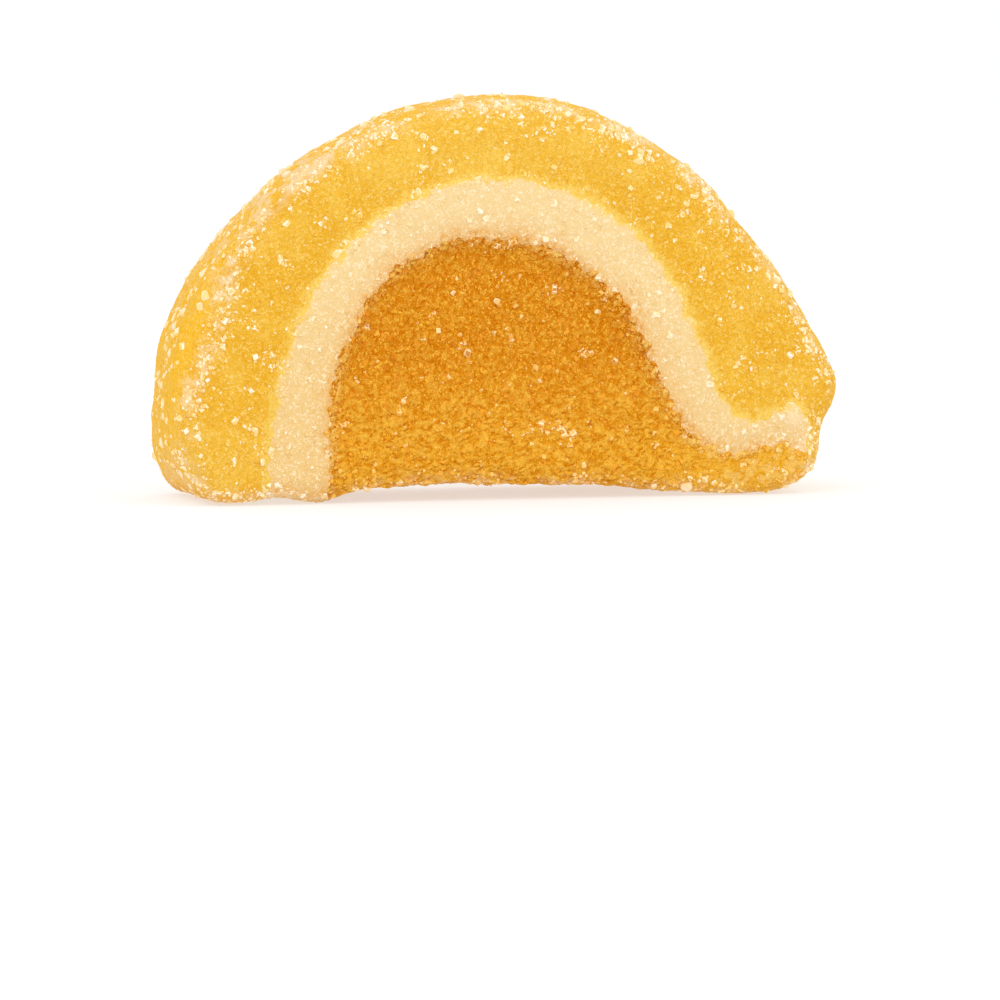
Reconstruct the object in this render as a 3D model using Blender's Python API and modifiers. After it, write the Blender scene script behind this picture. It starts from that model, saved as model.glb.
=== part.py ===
"""Jelly orange slice: a half round of sugared fruit jelly in three layers.

The slice stands on its cut base. X runs along the base, Y through the thickness with the
cut face at -Y, and Z up. Peel, pith and flesh each run through the whole thickness.
"""

import math
import random

import bmesh
import bpy
import numpy as np
from mathutils import Matrix, Vector, noise

MM = 0.001

# Driving sizes in millimetres and degrees
THICKNESS = 11.0
RIM_ROUNDING = 1.6
ARC_CENTRE = (0.3, 4.0)
ARC_RADIUS = 19.25
LEFT_FULLNESS = 0.8
SHOULDER_FLAT = 0.6
NOSE_BULGE = 1.2
RIND_SWELL = 0.32
WORN_EDGE = 1.3
WORN_WIDTH = 3.0
BACK_TAPER = 0.3
BACK_TAPER_LEFT = 0.75
LAYER_GAP = 0.3
FLESH_HOLLOW = 0.85
PITH_CROWN = 0.25
GRAIN_BUMP = 0.13
MIDDLE_SHIFT = -0.45
MESH_STEP = 0.98
GRAIN_COUNT = 130
GRAIN_LARGEST = 0.85
GRAIN_SMALLEST = 0.5
GRAIN_SPACING = 1.9
SEED = 42

# How far the rind stands out or in at angles round the arc, and how wide each place is
DENTS = (
    (0.0, 12.0), (0.15, 26.0), (-0.05, 62.0), (0.26, 80.0), (0.23, 100.0), (0.16, 118.0),
    (0.09, 135.0), (-0.39, 178.0),
)
DENT_SPREAD = 9.0

# Where the base turns up into the arc on each side, as stations of x and z
LEFT_TURN = ((-19.25, 3.3), (-18.6, 1.7), (-17.6, 0.35))
LEFT_FOOT = ((-15.6, 0.0), (-13.3, 0.3), (-11.0, 0.12))
BASE_MIDDLE = ((-8.0, 0.72), (-4.5, 0.93), (0.5, 0.88), (6.0, 0.62))
RIGHT_FOOT = ((11.4, 0.16), (14.4, 0.0), (17.2, 0.22))
RIGHT_TURN = ((18.95, 1.2), (19.5, 2.5))

# The arch of pith, as stations of x and z from the left foot to the right-hand hook
PITH_OUTSIDE = (
    (-14.15, -9.0), (-14.15, -3.0), (-14.1, 2.6), (-13.15, 8.35), (-10.6, 13.7), (-6.5, 17.45),
    (-1.2, 19.05), (4.75, 17.8), (9.2, 14.4), (11.75, 9.65), (13.35, 5.5), (15.15, 4.4),
    (16.85, 5.3),
)
HOOK_TIP = ((18.2, 4.95), (18.45, 3.9))
PITH_INSIDE = (
    (-10.3, -9.0), (-10.35, -2.0), (-10.45, 4.5), (-9.5, 9.3), (-7.05, 13.2), (-3.2, 15.3),
    (0.9, 15.4), (4.75, 13.75), (7.95, 10.45), (9.8, 6.35), (11.75, 3.55), (14.1, 2.45),
    (16.6, 3.1),
)
RIGHT_END = ((18.5, 2.4), (18.3, 0.4), (17.8, -3.0), (17.4, -9.0))

PEEL_COLOUR = (0.94, 0.55, 0.085, 1.0)
PITH_COLOUR = (0.95, 0.70, 0.36, 1.0)
FLESH_COLOUR = (0.76, 0.30, 0.03, 1.0)


def smooth_loop(stations, spans=6):
    """Return a closed, smooth loop of (x, z) points through the stations."""
    known = np.asarray(stations, dtype=float)
    count = len(known)
    loop = []
    for i in range(count):
        p0, p1, p2, p3 = (known[(i + k) % count] for k in (-1, 0, 1, 2))
        for t in np.linspace(0.0, 1.0, spans, endpoint=False):
            loop.append(
                0.5
                * (
                    2.0 * p1
                    + (p2 - p0) * t
                    + (2.0 * p0 - 5.0 * p1 + 4.0 * p2 - p3) * t**2
                    + (3.0 * p1 - p0 - 3.0 * p2 + p3) * t**3
                )
            )
    return np.array(loop)


def offset_loop(loop, distance):
    """Return the loop moved outwards by a distance, or inwards where it is negative."""
    ahead = np.roll(loop, -1, axis=0)
    behind = np.roll(loop, 1, axis=0)
    along = ahead - behind
    along /= np.linalg.norm(along, axis=1)[:, None]
    area = 0.5 * np.sum(loop[:, 0] * ahead[:, 1] - ahead[:, 0] * loop[:, 1])
    outwards = np.column_stack((along[:, 1], -along[:, 0])) * np.sign(area)
    return loop + outwards * distance


def bump(angle, middle, spread):
    """Return a smooth hump of height 1 round a middle angle in degrees."""
    return np.exp(-(((angle - middle) / spread) ** 2))


def arc_radius(angle):
    """Return how far the rind lies from the arc's centre at an angle in degrees."""
    nose = bump(angle, 5.8, np.where(angle > 5.8, 10.0, 3.7))
    return (
        ARC_RADIUS
        + LEFT_FULLNESS * bump(angle, 168.0, 38.0)
        - SHOULDER_FLAT * bump(angle, 38.0, 20.0)
        + NOSE_BULGE * nose
        + sum(rise * bump(angle, middle, DENT_SPREAD) for rise, middle in DENTS)
    )


def slice_loop():
    """Return the outline of the slice, from the arc's right-hand end round to the base."""
    angles = np.concatenate(
        (np.linspace(-3.0, 20.0, 8), np.linspace(30.0, 176.0, 15))
    )
    radii = arc_radius(angles)
    turned = np.radians(angles)
    arc = [
        (ARC_CENTRE[0] + r * math.cos(a), ARC_CENTRE[1] + r * math.sin(a))
        for r, a in zip(radii, turned)
    ]
    base = (*LEFT_TURN, *LEFT_FOOT, *BASE_MIDDLE, *RIGHT_FOOT, *RIGHT_TURN)
    return smooth_loop([*arc, *base], 3)


def prism(name, loop, half_depth, rounding=0.0):
    """Return a mesh object: the loop filled and drawn out through the thickness."""
    curve = bpy.data.curves.new(name, "CURVE")
    curve.dimensions = "2D"
    curve.fill_mode = "BOTH"
    curve.extrude = (half_depth - rounding) * MM
    curve.bevel_depth = rounding * MM
    curve.bevel_resolution = 3
    curve.offset = -rounding * MM
    spline = curve.splines.new("POLY")
    spline.points.add(len(loop) - 1)
    for point, (x, z) in zip(spline.points, loop):
        point.co = (x * MM, z * MM, 0.0, 1.0)
    spline.use_cyclic_u = True
    drawn = bpy.data.objects.new(name + "_curve", curve)
    bpy.context.scene.collection.objects.link(drawn)
    bpy.context.view_layer.update()
    mesh = bpy.data.meshes.new_from_object(
        drawn.evaluated_get(bpy.context.evaluated_depsgraph_get())
    )
    bpy.data.objects.remove(drawn)
    mesh.transform(Matrix.Rotation(math.radians(90.0), 4, "X"))
    clean = bmesh.new()
    clean.from_mesh(mesh)
    bmesh.ops.remove_doubles(clean, verts=clean.verts, dist=1e-7)
    bmesh.ops.recalc_face_normals(clean, faces=clean.faces)
    clean.to_mesh(mesh)
    clean.free()
    made = bpy.data.objects.new(name, mesh)
    bpy.context.scene.collection.objects.link(made)
    return made


def bake_modifiers(made):
    """Replace an object's mesh with its evaluated mesh and drop the modifiers."""
    bpy.context.view_layer.update()
    evaluated = made.evaluated_get(bpy.context.evaluated_depsgraph_get())
    mesh = bpy.data.meshes.new_from_object(evaluated)
    made.modifiers.clear()
    made.data = mesh
    return made


def depth_inside(points, loop):
    """Return how far each (x, z) point lies inside the loop, negative outside."""
    start = loop
    along = np.roll(loop, -1, axis=0) - start
    away = points[:, None, :] - start[None]
    share = np.clip(np.sum(away * along, axis=2) / np.sum(along**2, axis=1), 0.0, 1.0)
    nearest = np.linalg.norm(away - share[..., None] * along, axis=2).min(axis=1)
    x, z = points[:, 0][:, None], points[:, 1][:, None]
    x0, z0 = start[:, 0], start[:, 1]
    x1, z1 = x0 + along[:, 0], z0 + along[:, 1]
    spans = (z0 > z) != (z1 > z)
    rise = np.where(z1 == z0, 1e-9, z1 - z0)
    crossings = np.sum(spans & (x < x0 + (z - z0) * (x1 - x0) / rise), axis=1)
    return np.where(crossings % 2 == 1, nearest, -nearest)


def ease(value, low, high):
    """Return 0 below low and 1 above high, with a smooth change between."""
    share = np.clip((value - low) / (high - low), 0.0, 1.0)
    return share * share * (3.0 - 2.0 * share)


def shape_body(body, pith_loop, flesh_loop):
    """Taper the block towards its back, dish its faces and roughen it like sugar."""
    mesh = body.data
    flat = np.empty(len(mesh.vertices) * 3)
    mesh.vertices.foreach_get("co", flat)
    co = flat.reshape(-1, 3) / MM
    x, y, z = co.T

    # The front edge is worn down at the left
    angle = np.degrees(np.arctan2(z - ARC_CENTRE[1], x - ARC_CENTRE[0]))
    angle = np.where(angle < -90.0, angle + 360.0, angle)
    reach = np.hypot(x - ARC_CENTRE[0], z - ARC_CENTRE[1])
    worn = WORN_EDGE * (1.0 - ease(arc_radius(angle) - reach, 0.0, WORN_WIDTH))
    y += worn * bump(angle, 161.0, 12.0) * ease(-y, 1.0, 4.5)

    # The back rim is drawn in, most of all at the upper left
    back = ease(y, -THICKNESS / 2, THICKNESS / 2)
    inset = (BACK_TAPER + BACK_TAPER_LEFT * bump(angle, 135.0, 38.0)) * back
    inset *= ease(z, 0.5, 5.0)
    scale = 1.0 - inset * ease(reach, 6.0, 17.0) / np.maximum(reach, 1e-6)
    x = ARC_CENTRE[0] + (x - ARC_CENTRE[0]) * scale
    z = ARC_CENTRE[1] + (z - ARC_CENTRE[1]) * scale

    # The rind swells a little at mid thickness
    middle = 1.0 - (2.0 * y / THICKNESS) ** 2
    swell = RIND_SWELL * middle * ease(reach, 15.0, 18.5) * ease(z, 1.0, 6.0)
    x += swell * np.cos(np.radians(angle))
    z += swell * np.sin(np.radians(angle))

    # Flesh sinks under the arch and comes forward again near the base
    flat_points = np.column_stack((x, z))
    in_flesh = depth_inside(flat_points, flesh_loop)
    in_pith = depth_inside(flat_points, pith_loop)
    sink = FLESH_HOLLOW * ease(in_flesh, -0.5, 1.5) * (0.2 + 0.8 * ease(z, 1.0, 10.0))
    crown = PITH_CROWN * ease(in_pith, -0.6, 0.8) * (1.0 - ease(in_flesh, -1.8, 0.0))
    face = ease(np.abs(y), THICKNESS / 2 - 1.6, THICKNESS / 2 - 0.1)
    y -= np.sign(y) * face * (sink - crown)

    # Sugar and hand cutting leave no face flat
    points = np.column_stack((x, y, z))
    mesh.vertices.foreach_set("co", (points * MM).ravel())
    mesh.update()
    for vertex in mesh.vertices:
        at = Vector(vertex.co) / MM
        fine = noise.noise(at * 0.95 + Vector((SEED, 3.0, 7.0)))
        broad = noise.noise(at * 0.22 + Vector((5.0, SEED, 1.0)))
        lift = GRAIN_BUMP * (0.9 * fine + 1.1 * broad)
        if at.z < 0.6:
            lift = min(lift, 0.02)
        vertex.co = Vector(vertex.co) + vertex.normal * lift * MM
    mesh.update()


def keep_within(body, cutter, operation, name):
    """Return a copy of the body after one Boolean with the cutter."""
    made = body.copy()
    made.data = body.data.copy()
    made.name = name
    bpy.context.scene.collection.objects.link(made)
    cut = made.modifiers.new("layer_" + cutter.name, "BOOLEAN")
    cut.operation = operation
    cut.solver = "EXACT"
    cut.object = cutter
    return bake_modifiers(made)


def drop_scraps(made):
    """Keep only the largest closed body of an object."""
    mesh = bmesh.new()
    mesh.from_mesh(made.data)
    mesh.faces.ensure_lookup_table()
    groups, seen = [], set()
    for face in mesh.faces:
        if face.index in seen:
            continue
        stack, group = [face], []
        seen.add(face.index)
        while stack:
            here = stack.pop()
            group.append(here)
            for edge in here.edges:
                for beside in edge.link_faces:
                    if beside.index not in seen:
                        seen.add(beside.index)
                        stack.append(beside)
        groups.append(group)
    groups.sort(key=lambda group: sum(face.calc_area() for face in group), reverse=True)
    for group in groups[1:]:
        bmesh.ops.delete(mesh, geom=group, context="FACES")
    loose = [vertex for vertex in mesh.verts if not vertex.link_faces]
    bmesh.ops.delete(mesh, geom=loose, context="VERTS")
    mesh.to_mesh(made.data)
    mesh.free()


def outer_places(made, own_depth, count, source):
    """Return spread-out points with normals on the outside of a layer."""
    made.data.calc_loop_triangles()
    chosen, weights = [], []
    for face in made.data.polygons:
        at = Vector(face.center) / MM
        if own_depth(at) > 0.75 and at.z > 0.7:
            chosen.append((at, Vector(face.normal)))
            weights.append(face.area)
    places = []
    for at, normal in source.choices(chosen, weights=weights, k=count * 12):
        if all((at - other).length > GRAIN_SPACING for other, _ in places):
            places.append((at, normal))
        if len(places) == count:
            break
    return places


def add_grains(made, places, source, holder):
    """Fuse sugar crystals to a layer with one Boolean union on their collection."""
    grains = bpy.data.collections.new(made.name + "_grains")
    holder.children.link(grains)
    for i, (at, normal) in enumerate(places):
        size = GRAIN_LARGEST - (GRAIN_LARGEST - GRAIN_SMALLEST) * i / len(places)
        mesh = bpy.data.meshes.new("grain")
        crystal = bmesh.new()
        bmesh.ops.create_cube(crystal, size=1.0)
        for corner in crystal.verts:
            corner.co += Vector(source.uniform(-0.14, 0.14) for _ in range(3))
        stretch = Matrix.Diagonal((size * source.uniform(0.8, 1.3), size, size * 0.8, 1.0))
        lean = Matrix.Rotation(source.uniform(0.2, 1.2), 4, "X")
        spin = Matrix.Rotation(source.uniform(0.0, 6.28), 4, "Z")
        turn = normal.to_track_quat("Z", "Y").to_matrix().to_4x4()
        crystal.transform(turn @ spin @ lean @ stretch)
        crystal.transform(Matrix.Translation(at - normal * 0.12 * size))
        crystal.transform(Matrix.Scale(MM, 4))
        crystal.to_mesh(mesh)
        crystal.free()
        grains.objects.link(bpy.data.objects.new("grain", mesh))
    joined = made.modifiers.new("sugar", "BOOLEAN")
    joined.operation = "UNION"
    joined.operand_type = "COLLECTION"
    joined.collection = grains
    joined.solver = "EXACT"
    bake_modifiers(made)
    for grain in list(grains.objects):
        bpy.data.objects.remove(grain)
    bpy.data.collections.remove(grains)


def give_material(made, name, colour):
    """Give an object one plain material of its own."""
    material = bpy.data.materials.new(name)
    material.use_nodes = True
    shader = material.node_tree.nodes["Principled BSDF"]
    shader.inputs["Base Color"].default_value = colour
    shader.inputs["Roughness"].default_value = 0.4
    made.data.materials.clear()
    made.data.materials.append(material)


def main():
    """Build the three layers of the slice."""
    for old in list(bpy.data.objects):
        bpy.data.objects.remove(old)
    parts = bpy.data.collections.new("jelly_orange_slice")
    cutters = bpy.data.collections.new("cutters")
    bpy.context.scene.collection.children.link(parts)
    bpy.context.scene.collection.children.link(cutters)

    outside = slice_loop()
    pith_loop = smooth_loop([*PITH_OUTSIDE, *HOOK_TIP, *RIGHT_END], 4)
    flesh_loop = smooth_loop([*PITH_INSIDE, *RIGHT_END], 4)

    body = prism("body", outside, THICKNESS / 2, RIM_ROUNDING)
    evened = body.modifiers.new("evened", "REMESH")
    evened.mode = "VOXEL"
    evened.voxel_size = MESH_STEP * MM
    relaxed = body.modifiers.new("relaxed", "SMOOTH")
    relaxed.factor = 0.5
    relaxed.iterations = 3
    bake_modifiers(body)
    shape_body(body, pith_loop, flesh_loop)

    half = LAYER_GAP / 2
    wide_pith = prism("wide_pith", offset_loop(pith_loop, half), THICKNESS)
    slim_pith = prism("slim_pith", offset_loop(pith_loop, -half), THICKNESS)
    wide_flesh = prism("wide_flesh", offset_loop(flesh_loop, half), THICKNESS * 1.1)
    slim_flesh = prism("slim_flesh", offset_loop(flesh_loop, -half), THICKNESS)

    peel = keep_within(body, wide_pith, "DIFFERENCE", "peel")
    arch = keep_within(body, slim_pith, "INTERSECT", "arch")
    pith = keep_within(arch, wide_flesh, "DIFFERENCE", "pith")
    flesh = keep_within(body, slim_flesh, "INTERSECT", "flesh")
    bpy.data.objects.remove(arch)
    bpy.data.objects.remove(body)

    def flat(at):
        return np.array([[at.x, at.z]])

    def peel_depth(at):
        return -depth_inside(flat(at), pith_loop)[0]

    def pith_depth(at):
        return min(depth_inside(flat(at), pith_loop)[0], -depth_inside(flat(at), flesh_loop)[0])

    def flesh_depth(at):
        return depth_inside(flat(at), flesh_loop)[0]

    layers = (
        (peel, peel_depth, 0.56, PEEL_COLOUR),
        (pith, pith_depth, 0.14, PITH_COLOUR),
        (flesh, flesh_depth, 0.30, FLESH_COLOUR),
    )
    for made, depth, share, colour in layers:
        source = random.Random(SEED + len(made.name))
        drop_scraps(made)
        places = outer_places(made, depth, round(GRAIN_COUNT * share), source)
        add_grains(made, places, source, bpy.context.scene.collection)
        drop_scraps(made)
        made.data.transform(Matrix.Translation((MIDDLE_SHIFT * MM, 0.0, 0.0)))
        made.data.shade_smooth()
        made.data.set_sharp_from_angle(angle=math.radians(35.0))
        give_material(made, made.name, colour)
        bpy.context.scene.collection.objects.unlink(made)
        parts.objects.link(made)
        print(made.name, len(made.data.polygons), "faces,", len(places), "grains")

    for cutter in (wide_pith, slim_pith, wide_flesh, slim_flesh):
        bpy.context.scene.collection.objects.unlink(cutter)
        cutters.objects.link(cutter)
        cutter.hide_render = True
        cutter.display_type = "WIRE"


if __name__ == "__main__":
    main()
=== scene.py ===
import logging
import math
from dataclasses import dataclass, field
from enum import Enum

import bmesh
import bpy
import numpy as np
from mathutils import Matrix, Vector, noise


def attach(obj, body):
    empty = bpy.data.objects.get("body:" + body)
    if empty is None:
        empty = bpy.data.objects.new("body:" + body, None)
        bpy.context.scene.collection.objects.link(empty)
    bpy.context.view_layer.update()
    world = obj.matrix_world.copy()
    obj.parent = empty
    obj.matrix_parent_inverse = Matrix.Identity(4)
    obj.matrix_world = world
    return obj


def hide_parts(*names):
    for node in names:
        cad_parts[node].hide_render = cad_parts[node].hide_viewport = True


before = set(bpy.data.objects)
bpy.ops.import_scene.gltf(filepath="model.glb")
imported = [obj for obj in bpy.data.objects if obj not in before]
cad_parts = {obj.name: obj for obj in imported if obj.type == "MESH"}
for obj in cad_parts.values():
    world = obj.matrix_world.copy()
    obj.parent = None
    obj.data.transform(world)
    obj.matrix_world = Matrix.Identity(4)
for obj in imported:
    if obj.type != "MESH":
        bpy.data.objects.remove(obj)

LOG = logging.getLogger("jelly_orange_slice")
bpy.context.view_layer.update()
MM = 0.001
SAME_POINT = 1e-7
Span = tuple[float, float]
Stations = tuple[Span, ...]
Scale = float | tuple[float, float, float]
Colour = tuple[float, float, float, float]
Coats = list[tuple[Colour, float | np.ndarray]]


class Layer(Enum):
    """The three layers of the slice, by the names of their solids."""

    PEEL = "peel"
    PITH = "pith"
    FLESH = "flesh"


def ease(value: np.ndarray, low: float, high: float) -> np.ndarray:
    """Return 0 below low, 1 above high and a smooth change between."""
    share = np.clip((value - low) / (high - low), 0.0, 1.0)
    return share * share * (3.0 - 2.0 * share)


def hump(value: np.ndarray, middle: float | np.ndarray, spread: float | np.ndarray) -> np.ndarray:
    """Return a smooth hump of height 1 round a middle value."""
    return np.exp(-(((value - middle) / spread) ** 2))


def noise_at(points: np.ndarray, scale: Scale, shift: float) -> np.ndarray:
    """Return smooth noise from about -1 to 1 at points, by waves per millimetre and a place in the noise."""
    scaled = points * np.asarray(scale) + np.array([shift, shift * 0.37, -shift])
    return np.fromiter((noise.noise(row) for row in scaled.tolist()), float, len(scaled))


@dataclass(frozen=True)
class Wave:
    """Smooth unevenness: its height, its waves per millimetre and its place in the noise."""

    height: float
    scale: Scale
    shift: float

    def at(self, points: np.ndarray) -> np.ndarray:
        """Return how far it rises at points in millimetres."""
        return self.height * noise_at(points, self.scale, self.shift)

    def pebbles(self, points: np.ndarray) -> np.ndarray:
        """Return its noise folded into pebbles, round on top, with creases at 0."""
        return np.abs(noise_at(points, self.scale, self.shift)) * 1.6


@dataclass(frozen=True)
class Patches:
    """Ragged patches: broad and fine noise, cut off softly between two levels."""

    broad: Wave
    fine: Wave
    low: float
    high: float

    def at(self, points: np.ndarray, more: float | np.ndarray = 0.0) -> np.ndarray:
        """Return 1 in the patches and 0 between them, with larger patches where there is more."""
        return ease(self.broad.at(points) + self.fine.at(points) + more, self.low, self.high)


@dataclass(frozen=True)
class Swelling:
    """A smooth rise round an angle of the arc in degrees, or a hollow where the rise is negative."""

    rise: float
    angle: float
    spread: float

    def at(self, angle: np.ndarray) -> np.ndarray:
        """Return how far it rises at angles."""
        return self.rise * hump(angle, self.angle, self.spread)


def smooth_loop(stations: Stations, spans: int) -> np.ndarray:
    """Draw a closed, smooth loop through stations.

    Args:
        stations: Points of x and z in millimetres.
        spans: How many points each stretch between two stations gets.

    Returns:
        The loop's points, one a row.
    """
    known = np.asarray(stations, dtype=float)
    count = len(known)
    loop = []
    for i in range(count):
        p0, p1, p2, p3 = (known[(i + k) % count] for k in (-1, 0, 1, 2))
        for t in np.linspace(0.0, 1.0, spans, endpoint=False):
            square = (2.0 * p0 - 5.0 * p1 + 4.0 * p2 - p3) * t**2
            cube = (3.0 * p1 - p0 - 3.0 * p2 + p3) * t**3
            loop.append(0.5 * (2.0 * p1 + (p2 - p0) * t + square + cube))
    return np.array(loop)


def ragged_loop(loop: np.ndarray, step: float, crumbs: Wave) -> np.ndarray:
    """Make a loop uneven at the scale of sugar crystals.

    Args:
        loop: A closed loop of x and z.
        step: The distance between the new loop's points.
        crumbs: How far a point may move sideways and how many crumbs there are in a millimetre.

    Returns:
        The denser, uneven loop.
    """
    ahead = np.roll(loop, -1, axis=0)
    lengths = np.linalg.norm(ahead - loop, axis=1)
    along = np.concatenate(([0.0], np.cumsum(lengths)))
    closed = np.vstack((loop, loop[:1]))
    count = int(along[-1] / step)
    where = np.linspace(0.0, along[-1], count, endpoint=False)
    dense = np.column_stack([np.interp(where, along, closed[:, k]) for k in (0, 1)])
    course = np.roll(dense, -1, axis=0) - np.roll(dense, 1, axis=0)
    course /= np.linalg.norm(course, axis=1)[:, None]
    sideways = np.column_stack((course[:, 1], -course[:, 0]))
    flat = np.column_stack((dense[:, 0], np.zeros(count), dense[:, 1]))
    sway = 0.8 * noise_at(flat, crumbs.scale, crumbs.shift)
    sway += 0.3 * noise_at(flat, 0.4 * crumbs.scale, crumbs.shift + 9.0)
    return dense + sideways * (sway * crumbs.height)[:, None]


@dataclass
class DepthMap:
    """How far any point of the cut face lies inside a loop, kept on a fine grid."""

    loop: np.ndarray
    low: tuple[float, float] = (-24.0, -3.0)
    high: tuple[float, float] = (24.0, 27.0)
    step: float = 0.12
    short_of_end: float = 1.001
    grid: np.ndarray = field(init=False)

    def __post_init__(self) -> None:
        """Measure the loop once."""
        xs = np.arange(self.low[0], self.high[0], self.step)
        zs = np.arange(self.low[1], self.high[1], self.step)
        rows = [self._measure(np.column_stack((xs, np.full(len(xs), z)))) for z in zs]
        self.grid = np.array(rows)

    def _measure(self, points: np.ndarray) -> np.ndarray:
        """Measure points against the loop.

        Args:
            points: Points of x and z, one a row.

        Returns:
            The depth inside the loop, negative outside.
        """
        start = self.loop
        along = np.roll(start, -1, axis=0) - start
        away = points[:, None, :] - start[None]
        share = np.clip(np.sum(away * along, axis=2) / np.sum(along**2, axis=1), 0.0, 1.0)
        nearest = np.linalg.norm(away - share[..., None] * along, axis=2).min(axis=1)
        x = points[:, 0][:, None]
        z = points[:, 1][:, None]
        end = start + along
        spans = (start[:, 1] > z) != (end[:, 1] > z)
        rise = np.where(along[:, 1] == 0.0, 1e-9, along[:, 1])
        crossing = start[:, 0] + (z - start[:, 1]) * along[:, 0] / rise
        inside = np.sum(spans & (x < crossing), axis=1) % 2 == 1
        return np.where(inside, nearest, -nearest)

    def at(self, x: np.ndarray, z: np.ndarray) -> np.ndarray:
        """Read the depth at points.

        Args:
            x: Their places along the base.
            z: Their heights.

        Returns:
            The depth inside the loop, negative outside.
        """
        rows, columns = np.array(self.grid.shape) - self.short_of_end
        across = np.clip((x - self.low[0]) / self.step, 0.0, columns)
        up = np.clip((z - self.low[1]) / self.step, 0.0, rows)
        i = across.astype(int)
        j = up.astype(int)
        s = across - i
        t = up - j
        lower = self.grid[j, i] * (1.0 - s) + self.grid[j, i + 1] * s
        upper = self.grid[j + 1, i] * (1.0 - s) + self.grid[j + 1, i + 1] * s
        return lower * (1.0 - t) + upper * t


@dataclass
class SliceForm:
    """The form of the slice: its outline, its layers and how its faces are dished."""

    thickness: float = 11.0
    rim_rounding: float = 1.6
    arc_centre: tuple[float, float] = (0.3, 4.0)
    arc_reach: float = 19.25
    arc_stretches: tuple[tuple[float, float, int], ...] = ((-3.0, 20.0, 8), (30.0, 176.0, 15))
    left_fullness: Swelling = Swelling(0.8, 168.0, 38.0)
    shoulder: Swelling = Swelling(-0.6, 38.0, 20.0)
    nose_above: Swelling = Swelling(1.2, 5.8, 10.0)
    nose_below: Swelling = Swelling(1.2, 5.8, 3.7)
    dents: Stations = (
        (0.15, 26.0), (-0.05, 62.0), (0.26, 80.0), (0.23, 100.0), (0.16, 118.0), (0.09, 135.0),
        (-0.39, 178.0),
    )
    dent_spread: float = 9.0
    back_taper: float = 0.3
    back_taper_left: Swelling = Swelling(0.75, 135.0, 38.0)
    taper_heights: Span = (0.5, 5.0)
    taper_reach: Span = (6.0, 17.0)
    rind_swell: float = 0.32
    swell_heights: Span = (1.0, 6.0)
    swell_reach: Span = (15.0, 18.5)
    worn: Swelling = Swelling(1.3, 161.0, 12.0)
    worn_width: float = 3.0
    worn_front: Span = (1.0, 4.5)
    rim_depth: float = 0.45
    rim_sugar: Patches = Patches(Wave(1.0, 0.33, 90.0), Wave(0.5, 1.1, 93.0), -0.4, 0.35)
    rim_thicker: tuple[Swelling, ...] = (
        Swelling(0.3, 161.0, 26.0), Swelling(0.3, 90.0, 8.0), Swelling(0.4, -8.0, 8.0),
    )
    frost_crust: Patches = Patches(
        Wave(1.0, (0.9, 0.7, 0.9), 101.0), Wave(0.9, (2.8, 2.0, 2.8), 103.0), -0.15, 0.3
    )
    frosted: tuple[Swelling, ...] = (
        Swelling(0.85, 132.0, 17.0), Swelling(0.75, 193.0, 9.0), Swelling(0.45, 60.0, 38.0),
    )
    flesh_hollow: float = 0.85
    hollow_at_base: float = 0.2
    hollow_heights: Span = (1.0, 10.0)
    pith_crown: float = 0.25
    middle_shift: float = -0.45
    corner_slope: float = 0.6
    near_corner: Span = (8.0, 14.0)
    wide_corner: Span = (5.0, 15.0)
    hook_end: Span = (15.8, 17.2)
    right_fade: Span = (15.0, 16.5)
    left_turn: Stations = ((-19.25, 3.3), (-18.6, 1.7), (-17.6, 0.35))
    left_foot: Stations = ((-15.6, 0.0), (-13.3, 0.3), (-11.0, 0.12))
    base_middle: Stations = ((-8.0, 0.72), (-4.5, 0.93), (0.5, 0.88), (6.0, 0.62))
    right_foot: Stations = ((11.4, 0.16), (14.4, 0.0), (17.2, 0.22))
    right_turn: Stations = ((18.95, 1.2), (19.5, 2.5))
    pith_outside: Stations = (
        (-14.15, -9.0), (-14.15, -3.0), (-14.1, 2.6), (-13.15, 8.35), (-10.6, 13.7), (-6.5, 17.45),
        (-1.2, 19.05), (4.75, 17.8), (9.2, 14.4), (11.75, 9.65), (13.35, 5.5), (15.15, 4.4),
        (16.85, 5.3),
    )
    hook_tip: Stations = ((18.2, 4.95), (18.45, 3.9))
    pith_inside: Stations = (
        (-10.3, -9.0), (-10.35, -2.0), (-10.45, 4.5), (-9.5, 9.3), (-7.05, 13.2), (-3.2, 15.3),
        (0.9, 15.4), (4.75, 13.75), (7.95, 10.45), (9.8, 6.35), (11.75, 3.55), (14.1, 2.45),
        (16.6, 3.1),
    )
    right_end: Stations = ((18.5, 2.4), (18.3, 0.4), (17.8, -3.0), (17.4, -9.0))
    outline_spans: int = 5
    layer_spans: int = 6
    slice_depth: DepthMap = field(init=False)
    pith_depth: DepthMap = field(init=False)
    flesh_depth: DepthMap = field(init=False)

    def __post_init__(self) -> None:
        """Measure the slice's edge and its layers' edges."""
        self.slice_depth = DepthMap(self.outline())
        self.pith_depth = DepthMap(self.pith_loop())
        self.flesh_depth = DepthMap(self.flesh_loop())

    def arc_radius(self, angle: np.ndarray) -> np.ndarray:
        """Work out how far the rind lies from the arc's centre.

        Args:
            angle: Angles round the centre in degrees.

        Returns:
            The distances.
        """
        nose = np.where(angle > self.nose_above.angle, self.nose_above.at(angle), self.nose_below.at(angle))
        dents = sum(Swelling(rise, middle, self.dent_spread).at(angle) for rise, middle in self.dents)
        return self.arc_reach + self.left_fullness.at(angle) + self.shoulder.at(angle) + nose + dents

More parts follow.
